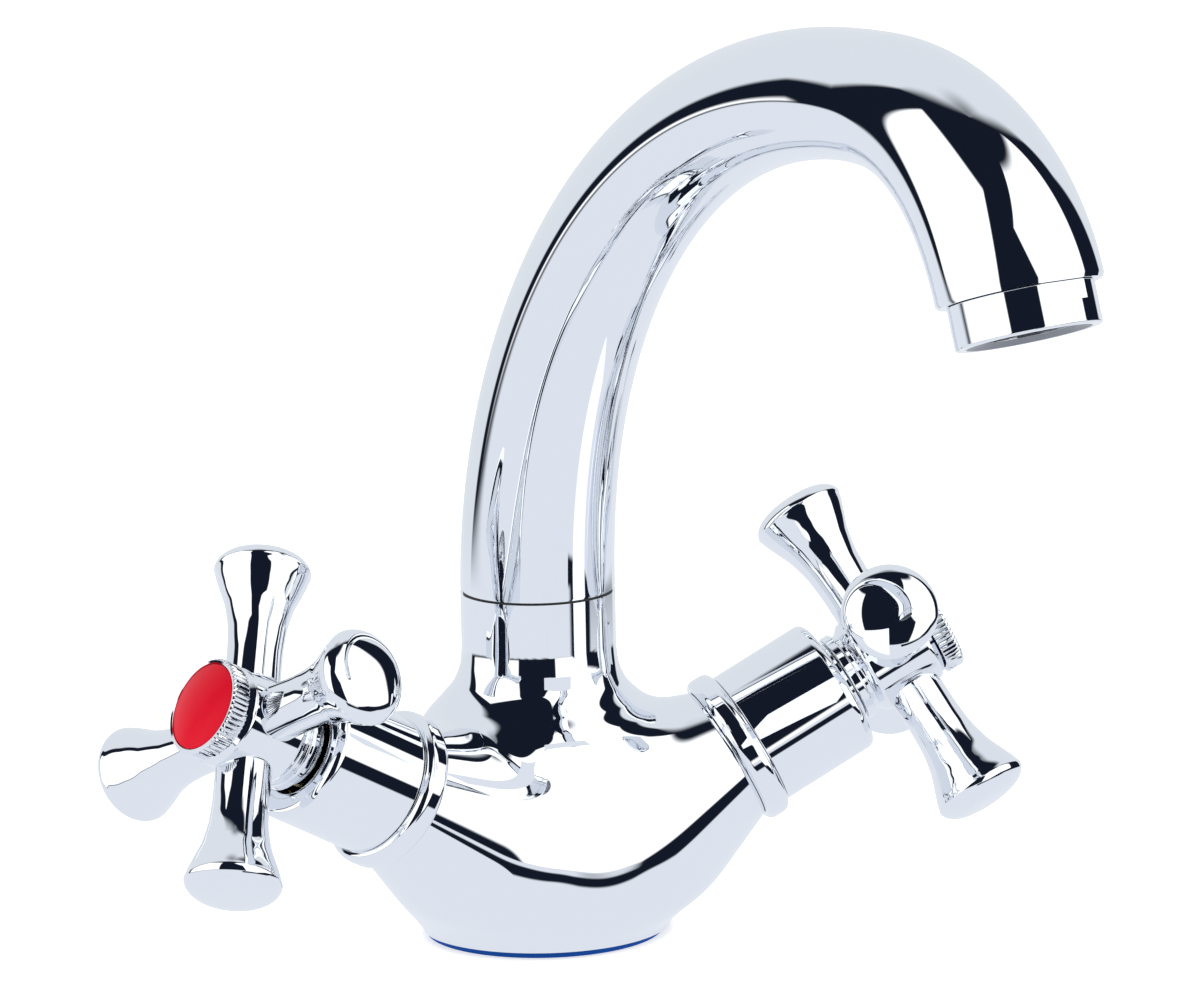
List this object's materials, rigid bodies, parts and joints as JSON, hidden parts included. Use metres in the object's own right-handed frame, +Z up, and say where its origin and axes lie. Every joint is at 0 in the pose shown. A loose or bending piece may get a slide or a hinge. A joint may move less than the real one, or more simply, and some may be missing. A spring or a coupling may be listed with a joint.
{
  "type": "bathroom mixer faucet",
  "caption": "Chrome basin mixer with cross handles on rising arms, coloured hot and cold indexes and a curved swivel spout with an aerator.",
  "frame": {"origin": "centre of the underside of the base gasket, on the spout's swivel axis", "axes": "+Z up along the swivel axis, -Y forwards over the basin, -X towards the hot handle, +X towards the cold handle"},
  "size_m": [0.1929, 0.2068, 0.204],
  "materials": {
    "chrome": "mirror-polished plating on brass",
    "brass": "machined",
    "ceramic": "lapped",
    "seal_rubber": "matte",
    "blue_gasket": "satin",
    "white_plastic": "moulded",
    "red_index": "glossy dome",
    "blue_index": "glossy dome",
    "stainless": "satin"
  },
  "bodies": {
    "base": {"body_casting": "chrome", "base_gasket": "blue_gasket", "spout_glide_ring": "white_plastic", "hot_bonnet_ring": "chrome", "hot_sleeve": "chrome", "hot_headwork": "brass", "hot_flange_seal": "seal_rubber", "hot_seat_seal": "seal_rubber", "hot_fixed_disc": "ceramic", "cold_bonnet_ring": "chrome", "cold_sleeve": "chrome", "cold_headwork": "brass", "cold_flange_seal": "seal_rubber", "cold_seat_seal": "seal_rubber", "cold_fixed_disc": "ceramic"},
    "hot_handle": {"hot_spindle": "brass", "hot_turning_disc": "ceramic", "hot_spindle_seal": "seal_rubber", "hot_circlip": "stainless", "hot_hub": "chrome", "hot_spoke_up": "chrome", "hot_spoke_front": "chrome", "hot_spoke_down": "chrome", "hot_spoke_back": "chrome", "hot_cap_ring": "chrome", "hot_index": "red_index", "hot_handle_screw": "stainless"},
    "cold_handle": {"cold_spindle": "brass", "cold_turning_disc": "ceramic", "cold_spindle_seal": "seal_rubber", "cold_circlip": "stainless", "cold_hub": "chrome", "cold_spoke_up": "chrome", "cold_spoke_front": "chrome", "cold_spoke_down": "chrome", "cold_spoke_back": "chrome", "cold_cap_ring": "chrome", "cold_index": "blue_index", "cold_handle_screw": "stainless"},
    "spout": {"spout_tube": "chrome", "spout_tail": "brass", "spout_upper_seal": "seal_rubber", "spout_lower_seal": "seal_rubber", "spout_split_ring": "white_plastic", "aerator_housing": "chrome", "aerator_washer": "seal_rubber", "aerator_insert": "white_plastic", "aerator_screen": "stainless"}
  },
  "joints": [
    {"name": "spout_swivel", "type": "hinge", "parent": "base", "child": "spout", "pos_m": [0, 0, 0.0734], "axis": [0, 0, 1], "continuous": true},
    {"name": "hot_turn", "type": "hinge", "parent": "base", "child": "hot_handle", "pos_m": [-0.07329, -0.01818, 0.05584], "axis": [-0.8633, -0.16, 0.4787], "range_deg": [0, 180]},
    {"name": "cold_turn", "type": "hinge", "parent": "base", "child": "cold_handle", "pos_m": [0.07329, -0.01818, 0.05584], "axis": [0.8633, -0.16, 0.4787], "range_deg": [0, 180]}
  ]
}
